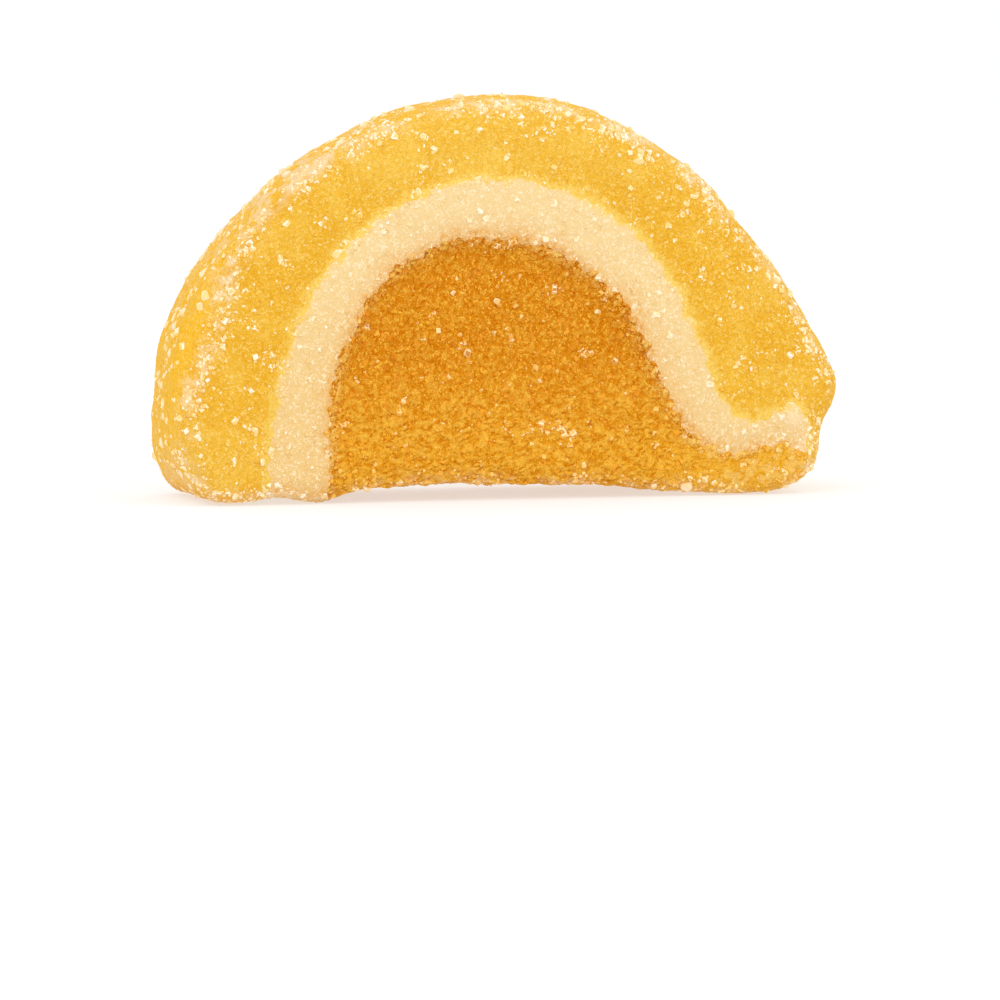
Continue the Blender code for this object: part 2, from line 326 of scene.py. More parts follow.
    def outline(self) -> np.ndarray:
        """Draw the loop round the whole slice.

        Returns:
            Its points of x and z.
        """
        angles = np.concatenate([np.linspace(*stretch) for stretch in self.arc_stretches])
        radii = self.arc_radius(angles)
        x = self.arc_centre[0] + radii * np.cos(np.radians(angles))
        z = self.arc_centre[1] + radii * np.sin(np.radians(angles))
        left = (*self.left_turn, *self.left_foot)
        right = (*self.right_foot, *self.right_turn)
        return smooth_loop((*zip(x, z), *left, *self.base_middle, *right), self.outline_spans)

    def pith_loop(self) -> np.ndarray:
        """Return the loop round pith and flesh together."""
        return smooth_loop((*self.pith_outside, *self.hook_tip, *self.right_end), self.layer_spans)

    def flesh_loop(self) -> np.ndarray:
        """Return the loop round the flesh."""
        return smooth_loop((*self.pith_inside, *self.right_end), self.layer_spans)

    def angle_of(self, x: np.ndarray, z: np.ndarray) -> np.ndarray:
        """Return the angle round the arc's centre, in degrees from the right."""
        angle = np.degrees(np.arctan2(z - self.arc_centre[1], x - self.arc_centre[0]))
        return np.where(angle < -90.0, angle + 360.0, angle)

    def reach_of(self, x: np.ndarray, z: np.ndarray) -> np.ndarray:
        """Return the distance from the arc's centre."""
        return np.hypot(x - self.arc_centre[0], z - self.arc_centre[1])

    def on_face(self, y: np.ndarray, start: float, full: float) -> np.ndarray:
        """Return 1 at the cut faces, fading to 0 between two depths under them."""
        return ease(np.abs(y), self.thickness / 2 - start, self.thickness / 2 - full)

    def on_rind(self, y: np.ndarray, start: float, full: float) -> np.ndarray:
        """Return 0 at the cut faces, rising to 1 between two depths under them."""
        return ease(self.thickness / 2 - np.abs(y), start, full)

    def rim_inset(self, x: np.ndarray, z: np.ndarray) -> np.ndarray:
        """Return how far inside the outline the sugar of the rim lies, more where the edge is worn."""
        return self.rim_depth + self.worn.at(self.angle_of(x, z))

    def rim_patches(self, points: np.ndarray) -> np.ndarray:
        """Return how thick the sugar of the rim lies at points, 0 to 1, in patches along it."""
        angle = self.angle_of(points[:, 0], points[:, 2])
        return self.rim_sugar.at(points, sum(thicker.at(angle) for thicker in self.rim_thicker))

    def corner(self, points: np.ndarray, wide: bool = False) -> np.ndarray:
        """Return how near points are to the lower right corner, 0 to 1, by a near or a wide reach."""
        reach = self.wide_corner if wide else self.near_corner
        return ease(points[:, 0] - self.corner_slope * points[:, 2], *reach)

    def frost(self, points: np.ndarray) -> np.ndarray:
        """Work out how thick a crust of dry sugar lies on the rind, most on the upper left.

        Args:
            points: Points in millimetres.

        Returns:
            The thickness, 0 to 1.
        """
        angle = self.angle_of(points[:, 0], points[:, 2])
        where = sum(frosted.at(angle) for frosted in self.frosted)
        return self.on_rind(points[:, 1], 0.2, 1.0) * where * self.frost_crust.at(points)

    def shaped(self, points: np.ndarray) -> np.ndarray:
        """Wear a plain block's left edge, taper it towards its back, swell its rind and dish its faces.

        Args:
            points: The block's points in millimetres.

        Returns:
            The moved points.
        """
        x, y, z = points.T.copy()
        angle = self.angle_of(x, z)
        outside = 1.0 - ease(self.arc_radius(angle) - self.reach_of(x, z), 0.0, self.worn_width)
        y += self.worn.at(angle) * outside * ease(-y, *self.worn_front)
        back = ease(y, -self.thickness / 2, self.thickness / 2)
        inset = (self.back_taper + self.back_taper_left.at(angle)) * back * ease(z, *self.taper_heights)
        reach = self.reach_of(x, z)
        scale = 1.0 - inset * ease(reach, *self.taper_reach) / np.maximum(reach, 1e-6)
        x = self.arc_centre[0] + (x - self.arc_centre[0]) * scale
        z = self.arc_centre[1] + (z - self.arc_centre[1]) * scale
        middle = 1.0 - (2.0 * y / self.thickness) ** 2
        swell = self.rind_swell * middle * ease(reach, *self.swell_reach) * ease(z, *self.swell_heights)
        x += swell * np.cos(np.radians(angle))
        z += swell * np.sin(np.radians(angle))
        in_flesh = self.flesh_depth.at(x, z)
        in_pith = self.pith_depth.at(x, z)
        fall = self.hollow_at_base + (1.0 - self.hollow_at_base) * ease(z, *self.hollow_heights)
        sink = self.flesh_hollow * ease(in_flesh, -0.5, 1.5) * fall
        crown = self.pith_crown * ease(in_pith, -0.6, 0.8) * (1.0 - ease(in_flesh, -1.8, 0.0))
        y -= np.sign(y) * self.on_face(y, 1.6, 0.1) * (sink - crown)
        return np.column_stack((x, y, z))


@dataclass
class JellySpots:
    """Points of the jelly with how its surface runs there and how deep in a layer they lie."""

    form: SliceForm
    points: np.ndarray
    crease: np.ndarray
    crest: np.ndarray
    edge_sway: tuple[Wave, ...] = (Wave(0.35, 1.1, 61.0), Wave(0.4, 2.6, 67.0))
    patchy: Wave = Wave(1.0, 0.7, 71.0)
    in_pith: np.ndarray = field(init=False)
    in_flesh: np.ndarray = field(init=False)
    patch: np.ndarray = field(init=False)

    def __post_init__(self) -> None:
        """Measure the depths, with layer edges that sway."""
        x, _, z = self.points.T
        sway = sum(wave.at(self.points) for wave in self.edge_sway)
        self.in_pith = self.form.pith_depth.at(x, z) + sway
        self.in_flesh = self.form.flesh_depth.at(x, z) + sway
        self.patch = self.patchy.at(self.points)


@dataclass
class LayerTones:
    """The broad colours of each layer before sugar, with painted light and shade on the relief, near the
    floor, under the pith's arch and on the rind.
    """

    form: SliceForm
    peel: Colour = (0.81, 0.44, 0.032, 1.0)
    peel_light: Colour = (0.86, 0.53, 0.072, 1.0)
    # Painted shade in the peel's creases.
    peel_crease_shade: Colour = (0.76, 0.375, 0.02, 1.0)
    # Painted light: the rind brighter and more saturated than the cut faces.
    rind: Colour = (0.91, 0.505, 0.026, 1.0)
    # Painted shade near the floor.
    peel_foot_shade: Colour = (0.85, 0.415, 0.025, 1.0)
    border: Colour = (0.87, 0.58, 0.11, 1.0)
    pith_outer: Colour = (0.83, 0.61, 0.295, 1.0)
    # Painted shade, warmed with painted light from the flesh, on the pith's inner side.
    pith_inner_shade_and_glow: Colour = (0.82, 0.53, 0.225, 1.0)
    # Painted shade on the lower pith, below its lit top.
    pith_leg_shade: Colour = (0.80, 0.53, 0.20, 1.0)
    # Painted shade near the floor, warm as light through the jelly.
    pith_foot_shade: Colour = (0.82, 0.47, 0.14, 1.0)
    # Painted shade where the pith steps down to the flesh and in its creases there.
    pith_edge: Colour = (0.82, 0.46, 0.13, 1.0)
    # The deep colour is darker as painted shadow under the pith's arch; the two after it are painted light.
    flesh_deep: Colour = (0.70, 0.25, 0.006, 1.0)
    flesh_low_lit: Colour = (0.83, 0.38, 0.017, 1.0)
    flesh_corner_lit: Colour = (0.87, 0.45, 0.025, 1.0)
    flesh_clump: Colour = (0.97, 0.70, 0.26, 1.0)
    # Painted shade in the flesh's creases.
    flesh_crease_shade: Colour = (0.60, 0.175, 0.0, 1.0)
    # Painted highlights on the crests, the second along the edge of the flesh.
    flesh_crest_highlight: Colour = (0.94, 0.54, 0.075, 1.0)
    flesh_edge: Colour = (0.97, 0.66, 0.19, 1.0)
    # Pale sugar; along the rims it also stands in for a painted sheen.
    fringe: Colour = (0.92, 0.71, 0.45, 1.0)
    rim_crumbs: Patches = Patches(Wave(1.0, 2.0, 77.0), Wave(0.6, 4.6, 79.0), -0.12, 0.14)
    flesh_clumps: Patches = Patches(Wave(1.0, 1.3, 87.0), Wave(0.7, 3.6, 89.0), 0.05, 0.3)

    def at(self, layer: Layer, points: np.ndarray, crease: np.ndarray, crest: np.ndarray) -> np.ndarray:
        """Give the broad colour of a layer at points.

        Args:
            layer: Which layer the points are in.
            points: Points in millimetres, one a row.
            crease: How deep in a crease each point lies, 0 to 1.
            crest: How high on a crest each point lies, 0 to 1.

        Returns:
            One colour a row, with how crumbled the surface is in place of alpha.
        """
        spots = JellySpots(self.form, points, crease, crest)
        coats = {Layer.PEEL: self._peel, Layer.PITH: self._pith, Layer.FLESH: self._flesh}[layer](spots)
        tone = np.zeros((len(points), 4))
        for colour, share in (*coats, self._rim(layer, spots)):
            share = np.broadcast_to(share, len(points))[:, None]
            tone = tone * (1.0 - share) + np.array(colour) * share
        tone[:, 3] = self._crumbled(layer, spots)
        return tone

    def _peel(self, spots: JellySpots) -> Coats:
        """Colour the peel.

        Args:
            spots: Points of the peel.

        Returns:
            Colours, each with how much of it lies over those before it.
        """
        x, y, z = spots.points.T
        # Paler towards the top as painted light from above, and paler on the lower left.
        low_left = (1.0 - ease(z, 2.0, 6.0)) * (1.0 - ease(x, -15.0, -8.0))
        paler = np.maximum(ease(z, 16.5, 21.0), low_left)
        return [
            (self.peel, 1.0),
            (self.peel_light, 0.5 * ease(spots.patch, -0.1, 0.45) + 0.5 * paler),
            # Painted light: the rind brighter and more saturated than the cut faces.
            (self.rind, self.form.on_rind(y, 0.4, 1.8)),
            (self.fringe, 0.8 * self.form.frost(spots.points)),
            # Painted shade: deeper orange near the floor.
            (self.peel_foot_shade, 0.8 * (1.0 - ease(z + 0.6 * spots.patch, 0.3, 1.8))),
            (self.border, ease(spots.in_pith, -0.6, 0.0)),
            # Painted shade: darker in the creases of the relief.
            (self.peel_crease_shade, 0.7 * spots.crease),
        ]

    def _pith(self, spots: JellySpots) -> Coats:
        """Colour the pith.

        Args:
            spots: Points of the pith.

        Returns:
            Colours, each with how much of it lies over those before it.
        """
        x, _, z = spots.points.T
        leg = (1.0 - ease(z, 4.0, 16.0)) * (1.0 - 0.5 * ease(x, 2.0, 9.0))
        return [
            (self.border, 1.0),
            (self.pith_outer, ease(spots.in_pith, 0.0, 0.3)),
            # Painted shade, warmed with painted light from the flesh, towards the pith's inner side.
            (self.pith_inner_shade_and_glow, ease(spots.in_flesh + 0.5 * spots.patch, -1.7, 0.1)),
            # Painted shade on the lower pith, most on the left, below its lit top.
            (self.pith_leg_shade, 0.7 * leg),
            # Painted shade near the floor, warm as light through the jelly.
            (self.pith_foot_shade, 0.7 * (1.0 - ease(z + 0.6 * spots.patch, 0.4, 2.2))),
            # Painted shade where the pith steps down to the flesh, kept warm orange, and deeper in the
            # creases there.
            (self.pith_edge, 0.35 * ease(spots.in_flesh, -0.5, -0.05)),
            (self.pith_edge, 0.9 * spots.crease * ease(spots.in_flesh, -0.7, -0.1)),
            (self.fringe, 0.6 * ease(x, *self.form.hook_end) * ease(spots.patch, -0.3, 0.2)),
        ]

    def _flesh(self, spots: JellySpots) -> Coats:
        """Colour the flesh.

        Args:
            spots: Points of the flesh.

        Returns:
            Colours, each with how much of it lies over those before it.
        """
        corner = self.form.corner(spots.points, wide=True)
        edge = 1.0 - ease(spots.in_flesh, 0.2, 0.8)
        clumps = self.form.corner(spots.points) * self.flesh_clumps.at(spots.points)
        return [
            (self.flesh_deep, 1.0),
            # Painted light: lighter towards the bottom, as light bounced from the floor, leaving the upper
            # flesh darker as painted shadow under the pith's arch.
            (self.flesh_low_lit, 1.0 - ease(spots.points[:, 2], 1.5, 9.0)),
            # Painted light: lighter and yellower towards the lower right corner.
            (self.flesh_corner_lit, corner),
            # Painted highlight on the crests of the pebbles and wrinkles.
            (self.flesh_crest_highlight, 0.6 * spots.crest),
            # Painted highlight on the crests along the edge of the flesh.
            (self.flesh_edge, edge * spots.crest),
            # Painted shade in the creases, less at the lower right corner.
            (self.flesh_crease_shade, (0.7 + 0.1 * edge) * spots.crease * (1.0 - 0.35 * corner)),
            (self.flesh_clump, 0.46 * clumps),
        ]

    def _rim(self, layer: Layer, spots: JellySpots) -> tuple[Colour, np.ndarray]:
        """Colour the sugar along the rims, with the paler look of a rim seen edge on painted in as sheen.

        Args:
            layer: The layer under it.
            spots: Points of the layer.

        Returns:
            The sugar's colour and how much of it lies over the layer's.
        """
        x, y, z = spots.points.T
        inset = self.form.rim_inset(x, z) - 0.3
        share = hump(self.form.slice_depth.at(x, z), inset, 0.5 + 0.3 * spots.patch)
        share *= self.form.on_face(y, 2.2, 0.9) * (0.45 if layer is Layer.FLESH else 0.75)
        share *= 0.1 + 0.9 * self.rim_crumbs.at(spots.points)
        return self.fringe, share * self.form.rim_patches(spots.points)

    def _crumbled(self, layer: Layer, spots: JellySpots) -> float | np.ndarray:
        """Work out how crumbled a layer's surface is, most along the edge of pith and flesh, where its finish
        paints shade in the gaps.

        Args:
            layer: The layer.
            spots: Points of the layer.

        Returns:
            How crumbled it is, 0 to 1.
        """
        left = 1.0 - ease(spots.points[:, 0], *self.form.right_fade)
        if layer is Layer.PITH:
            return 0.5 * ease(spots.in_flesh, -0.4, -0.05) * left
        if layer is Layer.FLESH:
            return 0.25 * (1.0 - ease(spots.in_flesh, 0.1, 0.7)) * left
        return 0.0


@dataclass
class SkinRelief:
    """The unevenness of the sugared surface, from broad swells down to single grains."""

    form: SliceForm
    swell: Wave = Wave(0.11, 0.24, 41.0)
    rind_waves: tuple[Wave, ...] = (Wave(0.25, 0.35, 43.0), Wave(0.11, 0.95, 45.0), Wave(0.05, 2.1, 49.0))
    face_waves: tuple[Wave, ...] = (Wave(0.045, 0.8, 17.0), Wave(0.03, 3.2, 23.0))
    pebble: Wave = Wave(0.075, 2.3, 7.0)
    wrinkle: Wave = Wave(0.12, (1.3, 1.6, 3.6), 31.0)
    wrinkle_sway: Wave = Wave(0.5, 0.8, 35.0)
    crumb: Wave = Wave(0.17, 2.6, 47.0)

    def at(self, points: np.ndarray) -> tuple[np.ndarray, np.ndarray, np.ndarray]:
        """Work out how far the surface stands out of the smooth form.

        Args:
            points: Surface points in millimetres.

        Returns:
            The height, how deep in a crease and how high on a crest each point lies.
        """
        x, y, z = points.T
        in_flesh = self.form.flesh_depth.at(x, z)
        face = 0.35 + 0.65 * self.form.on_face(y, 2.0, 1.0)
        flesh = ease(in_flesh, -0.15, 0.25)
        low = flesh * (1.0 - ease(z, 4.0, 8.5)) * (1.0 - 0.6 * self.form.corner(points))
        edge = hump(in_flesh, 0.1, 0.5) * (1.0 - 0.85 * ease(x, *self.form.right_fade))
        swayed = points.copy()
        swayed[:, 2] += self.wrinkle_sway.at(points)
        pebbles = self.pebble.pebbles(points)
        wrinkles = self.wrinkle.pebbles(swayed)
        crumbs = self.crumb.pebbles(points)
        height = self.swell.at(points)
        height += (1.0 - face) * sum(wave.at(points) for wave in self.rind_waves)
        height += face * sum(wave.at(points) for wave in self.face_waves)
        height += self.pebble.height * face * (0.3 + 0.7 * flesh) * (pebbles - 0.3)
        height += self.wrinkle.height * low * (wrinkles - 0.3)
        height += self.crumb.height * edge * (crumbs - 0.35)
        crease = np.maximum(flesh * self._crease(pebbles) * 0.5, low * self._crease(wrinkles))
        crease = np.maximum(crease, edge * self._crease(crumbs))
        crease = np.maximum(crease, 0.3 * face * self._crease(pebbles))
        crest = flesh * (0.5 * ease(pebbles, 0.3, 0.65) + low * ease(wrinkles, 0.3, 0.7))
        crest = np.maximum(crest, edge * ease(crumbs, 0.3, 0.6))
        return height, crease, np.clip(crest, 0.0, 1.0)

    @staticmethod
    def _crease(pebbles: np.ndarray) -> np.ndarray:
        """Return how deep in a crease between pebbles each point lies."""
        return 1.0 - ease(pebbles, 0.0, 0.28)


def add_tones(mesh: bpy.types.Mesh, tones: np.ndarray, domain: str = "POINT") -> None:
    """Store broad colours in a mesh, one a row for each vertex (POINT) or face corner (CORNER)."""
    stored = mesh.color_attributes.new("tone", "FLOAT_COLOR", domain)
    stored.data.foreach_set("color", tones.astype(np.float32).ravel())


def add_values(mesh: bpy.types.Mesh, name: str, values: np.ndarray) -> None:
    """Store one number a vertex in a mesh."""
    stored = mesh.attributes.new(name, "FLOAT", "POINT")
    stored.data.foreach_set("value", values.astype(np.float32))


def values_of(mesh: bpy.types.Mesh, name: str) -> np.ndarray:
    """Return the numbers stored in a mesh under a name, one a vertex."""
    values = np.empty(len(mesh.vertices))
    mesh.attributes[name].data.foreach_get("value", values)
    return values


def points_of(mesh: bpy.types.Mesh) -> np.ndarray:
    """Return a mesh's vertices in millimetres, one a row."""
    flat = np.empty(len(mesh.vertices) * 3)
    mesh.vertices.foreach_get("co", flat)
    return flat.reshape(-1, 3) / MM


def set_points(mesh: bpy.types.Mesh, points: np.ndarray) -> None:
    """Move a mesh's vertices to points in millimetres."""
    mesh.vertices.foreach_set("co", (points * MM).ravel())
    mesh.update()


def normals_of(mesh: bpy.types.Mesh) -> np.ndarray:
    """Return a mesh's vertex normals, one a row."""
    flat = np.empty(len(mesh.vertices) * 3)
    mesh.vertex_normals.foreach_get("vector", flat)
    return flat.reshape(-1, 3)


def link(name: str, data: bpy.types.ID) -> bpy.types.Object:
    """Return a new object of a mesh, a curve, a lamp or a camera, linked to the scene."""
    made = bpy.data.objects.new(name, data)
    bpy.context.scene.collection.objects.link(made)
    return made


def settled(made: bpy.types.Object) -> bpy.types.Mesh:
    """Return a new mesh of an object as its modifiers or curve settings shape it."""
    bpy.context.view_layer.update()
    return bpy.data.meshes.new_from_object(made.evaluated_get(bpy.context.evaluated_depsgraph_get()))


def prism(name: str, loop: np.ndarray, half_depth: float, rounding: float = 0.0) -> bpy.types.Object:
    """Fill a loop and draw it out through the thickness.

    Args:
        name: The object's name.
        loop: Points of x and z in millimetres.
        half_depth: How far it reaches to each side of the middle.
        rounding: The radius of its rims.

    Returns:
        A closed mesh object.
    """
    curve = bpy.data.curves.new(name, "CURVE")
    curve.dimensions = "2D"
    curve.fill_mode = "BOTH"
    curve.extrude = (half_depth - rounding) * MM
    curve.bevel_depth = rounding * MM
    curve.bevel_resolution = 5
    curve.offset = -rounding * MM
    spline = curve.splines.new("POLY")
    spline.points.add(len(loop) - 1)
    rows = np.column_stack((loop * MM, np.zeros(len(loop)), np.ones(len(loop))))
    spline.points.foreach_set("co", rows.ravel())
    spline.use_cyclic_u = True
    drawn = link(name + "_curve", curve)
    mesh = settled(drawn)
    bpy.data.objects.remove(drawn)
    mesh.transform(Matrix.Rotation(math.radians(90.0), 4, "X"))
    clean = bmesh.new()
    clean.from_mesh(mesh)
    bmesh.ops.remove_doubles(clean, verts=clean.verts, dist=SAME_POINT)
    bmesh.ops.recalc_face_normals(clean, faces=clean.faces)
    clean.to_mesh(mesh)
    clean.free()
    return link(name, mesh)


@dataclass
class JellyBlock:
    """The fine block of jelly that the three layers are cut from."""

    form: SliceForm
    tones: LayerTones
    relief: SkinRelief
    mesh_step: float
    soft_edge: Wave = Wave(0.5, 1.6, 3.0)
    soft_step: float = 0.14
    crumbled_edge: Wave = Wave(0.62, 2.0, 17.0)
    crumbled_step: float = 0.12
    relaxing: int = 24
    cutter_excess: float = 1.1
    pared: float = 0.08
    off_floor: float = 0.03
    sharp_angle: float = 60.0
    crowding: float = 3.0
    block: bpy.types.Object = field(init=False)
    pith_edge: np.ndarray = field(init=False)
    flesh_edge: np.ndarray = field(init=False)

    def build(self) -> None:
        """Make the block, with the relief that the sugar coat gives it."""
        self.pith_edge = ragged_loop(self.form.pith_loop(), self.soft_step, self.soft_edge)
        self.flesh_edge = ragged_loop(self.form.flesh_loop(), self.crumbled_step, self.crumbled_edge)
        self.block = prism("block", self.form.outline(), self.form.thickness / 2, self.form.rim_rounding)
        evened = self.block.modifiers.new("evened", "REMESH")
        evened.mode = "VOXEL"
        evened.voxel_size = self.mesh_step * MM
        relaxed = self.block.modifiers.new("relaxed", "SMOOTH")
        relaxed.factor = 0.5
        relaxed.iterations = self.relaxing
        self._settle(self.block)
        mesh = self.block.data
        set_points(mesh, self.form.shaped(points_of(mesh)))
        points = points_of(mesh)
        height, crease, crest = self.relief.at(points)
        points += normals_of(mesh) * (height - self.pared)[:, None]
        points[:, 2] = np.maximum(points[:, 2], self.off_floor)
        set_points(mesh, points)
        add_values(mesh, "crease", crease)
        add_values(mesh, "crest", crest)

    def cut(self, layer: Layer) -> bpy.types.Object:
        """Cut one layer out of the block.

        Args:
            layer: Which layer to cut.

        Returns:
            The layer as a closed mesh object.
        """
        made = link("jelly_" + layer.value, self.block.data.copy())
        pith = prism("pith_cutter", self.pith_edge, self.form.thickness)
        flesh = prism("flesh_cutter", self.flesh_edge, self.form.thickness * self.cutter_excess)
        cuts = {
            Layer.PEEL: ((pith, "DIFFERENCE"),),
            Layer.PITH: ((pith, "INTERSECT"), (flesh, "DIFFERENCE")),
            Layer.FLESH: ((flesh, "INTERSECT"),),
        }
        for cutter, operation in cuts[layer]:
            cut = made.modifiers.new("cut", "BOOLEAN")
            cut.operation = operation
            cut.solver = "MANIFOLD"
            cut.object = cutter
            self._settle(made)
        bpy.data.objects.remove(pith)
        bpy.data.objects.remove(flesh)
        crease = values_of(made.data, "crease")
        crest = values_of(made.data, "crest")
        add_tones(made.data, self.tones.at(layer, points_of(made.data), crease, crest))
        made.data.shade_smooth()
        made.data.set_sharp_from_angle(angle=math.radians(self.sharp_angle))
        return made

    @staticmethod
    def _settle(made: bpy.types.Object) -> None:
        """Give an object the mesh that its modifiers make and drop them."""
        mesh = settled(made)
        made.modifiers.clear()
        made.data = mesh

    def surface_samples(self, spacing: float, seed: int) -> tuple[np.ndarray, np.ndarray]:
        """Spread points evenly over the block's surface.

        Args:
            spacing: About how far apart the points are, in millimetres.
            seed: What the random draw starts from.

        Returns:
            The points and the surface's normals there.
        """
        draw = np.random.default_rng(seed)
        mesh = self.block.data
        mesh.calc_loop_triangles()
        count = len(mesh.loop_triangles)
        corners = np.empty(count * 3, dtype=np.int64)
        mesh.loop_triangles.foreach_get("vertices", corners)
        corners = corners.reshape(-1, 3)
        points = points_of(mesh)
        normals = normals_of(mesh)
        a, b, c = (points[corners[:, k]] for k in range(3))
        areas = 0.5 * np.linalg.norm(np.cross(b - a, c - a), axis=1)
        wanted = int(areas.sum() / spacing**2 * self.crowding)
        picked = draw.choice(count, size=wanted, p=areas / areas.sum())
        u, v = draw.random((2, wanted))
        flip = u + v > 1.0
        u = np.where(flip, 1.0 - u, u)[:, None]
        v = np.where(flip, 1.0 - v, v)[:, None]
        places = a[picked] * (1.0 - u - v) + b[picked] * u + c[picked] * v
        leaning = normals[corners[picked]].mean(axis=1)
        leaning /= np.linalg.norm(leaning, axis=1)[:, None]
        cells = np.floor(places / spacing).astype(np.int64)
        _, first = np.unique(cells, axis=0, return_index=True)
        first.sort()
        return places[first], leaning[first]


def turned_frames(count: int, draw: np.random.Generator) -> np.ndarray:
    """Return random rotations.

    Args:
        count: How many rotations.
        draw: The random source.

    Returns:
        One 3 by 3 matrix for each.
    """
    q = draw.normal(size=(count, 4))
    w, x, y, z = (q / np.linalg.norm(q, axis=1)[:, None]).T
    rows = np.array(
        [
            [1 - 2 * (y * y + z * z), 2 * (x * y - z * w), 2 * (x * z + y * w)],
            [2 * (x * y + z * w), 1 - 2 * (x * x + z * z), 2 * (y * z - x * w)],
            [2 * (x * z - y * w), 2 * (y * z + x * w), 1 - 2 * (x * x + y * y)],
        ]
    )
    return rows.transpose(2, 0, 1)


BLOCK_SIDES = ((0, 2, 3, 1), (4, 5, 7, 6), (0, 1, 5, 4), (2, 6, 7, 3), (0, 4, 6, 2), (1, 3, 7, 5))


@dataclass
class CrystalShape:
    """A sugar crystal: a skewed block, one end drawn in, with or without its edges cut off."""

    uneven: float = 0.13
    slimmest: float = 0.62
    longest: float = 1.35
    tip: float = 0.45
    edge_cut: float = 0.0

    def points(self, count: int, draw: np.random.Generator) -> np.ndarray:
        """Make the vertices of many crystals of size 1.

        Args:
            count: How many crystals.
            draw: The random source.

        Returns:
            The vertices of each crystal: its 8 corners, or 4 on each side if its edges are cut.
        """
        signs = np.array([[i & 1, i >> 1 & 1, i >> 2 & 1] for i in range(8)]) - 0.5
        made = np.repeat(signs[None], count, axis=0)
        drawn_in = draw.uniform(self.tip, 1.0, (count, 1, 1))
        upper = (signs[:, 2] > 0.0)[None, :, None]
        made[..., :2] = np.where(upper, made[..., :2] * drawn_in, made[..., :2])
        made += draw.uniform(-self.uneven, self.uneven, made.shape)
        made *= draw.uniform(self.slimmest, self.longest, (count, 1, 3))
        if not self.edge_cut:
            return made
        sides = made[:, np.array(BLOCK_SIDES)]
        middles = sides.mean(axis=2, keepdims=True)
        return (sides + (middles - sides) * self.edge_cut).reshape(count, -1, 3)

    def faces(self) -> list[tuple[int, ...]]:
        """Return the faces of one crystal by vertex number, its sides first."""
        if not self.edge_cut:
            return list(BLOCK_SIDES)
        at = {(side, c): 4 * side + k for side, ring in enumerate(BLOCK_SIDES) for k, c in enumerate(ring)}
        flats = [tuple(range(4 * side, 4 * side + 4)) for side in range(len(BLOCK_SIDES))]
        edges = []
        for side, ring in enumerate(BLOCK_SIDES):
            for a, b in zip(ring, ring[1:] + ring[:1]):
                over = self._beyond(side, a, b)
                if side < over:
                    edges.append((at[side, b], at[side, a], at[over, a], at[over, b]))
        return flats + edges + [self._tip(c, at) for c in range(8)]

    @staticmethod
    def _beyond(side: int, a: int, b: int) -> int:
        """Return the side of the block that shares an edge with another side."""
        return next(s for s, ring in enumerate(BLOCK_SIDES) if s != side and a in ring and b in ring)

    def _tip(self, corner: int, at: dict[tuple[int, int], int]) -> tuple[int, ...]:
        """Return the face that cuts off a corner.

        Args:
            corner: The corner of the block.
            at: The vertex number for each side and corner.

        Returns:
            Three vertex numbers.
        """
        around = [next(s for s, ring in enumerate(BLOCK_SIDES) if corner in ring)]
        while len(around) < 3:
            ring = BLOCK_SIDES[around[-1]]
            onward = ring[(ring.index(corner) + 1) % 4]
            around.append(self._beyond(around[-1], corner, onward))
        return tuple(at[side, corner] for side in reversed(around))


@dataclass
class SurfacePlaces:
    """Points spread over the slice, each with what lies there."""

    form: SliceForm
    places: np.ndarray
    normals: np.ndarray
    owners: np.ndarray
    in_slice: np.ndarray
    in_flesh: np.ndarray
    in_pith: np.ndarray
    spacing: float
    rim_spread: float = 0.58
    crowded: float = 1.35

    def rim(self) -> np.ndarray:
        """Return how thick sugar lies on the rim between a cut face and the rind, 0 to 1."""
        x, y, z = self.places.T
        near = hump(self.in_slice, self.form.rim_inset(x, z), self.rim_spread)
        return near * self.form.on_face(y, 2.3, 1.1) * self.form.rim_patches(self.places)

    def cut_face(self) -> np.ndarray:
        """Return 1 on the two cut faces and 0 on the rind and the base."""
        return ease(np.abs(self.normals[:, 1]), 0.35, 0.7)

    def chance(self, per_area: np.ndarray) -> np.ndarray:
        """Turn a number of crystals per square millimetre into a chance for each place."""
        return per_area * self.spacing**2 * self.crowded

    def gathered(self, scale: float, shift: float, low: float, high: float) -> np.ndarray:
        """Return 1 in the spots where crystals gather and 0 between them."""
        return ease(noise_at(self.places, scale, shift), low, high)


@dataclass(frozen=True)
class SugarLook:
    """How pale the sides and edges of sugar crystals are against the jelly under them; edges paler than the
    sides are painted highlights.
    """

    pale: Colour
    side: tuple[float, float]
    edge: tuple[float, float]
    darker: float = 0.0
    warmth: tuple[float, float, float] = (0.8, 1.2, 2.0)

    def over(self, tones: np.ndarray, shares: np.ndarray) -> np.ndarray:
        """Lay sugar over broad colours, warm where it is thin.

        Args:
            tones: One colour for each crystal.
            shares: How pale each face is, negative where it is darker than the jelly.

        Returns:
            One colour for each face.
        """
        pale = np.clip(shares, 0.0, 1.0)[..., None] ** np.array((*self.warmth, 1.0))
        shaded = tones[:, None, :] * (1.0 + np.clip(shares, -1.0, 0.0))[..., None]
        shown = shaded * (1.0 - pale) + np.array(self.pale) * pale
        shown[..., 3] = 1.0
        return shown


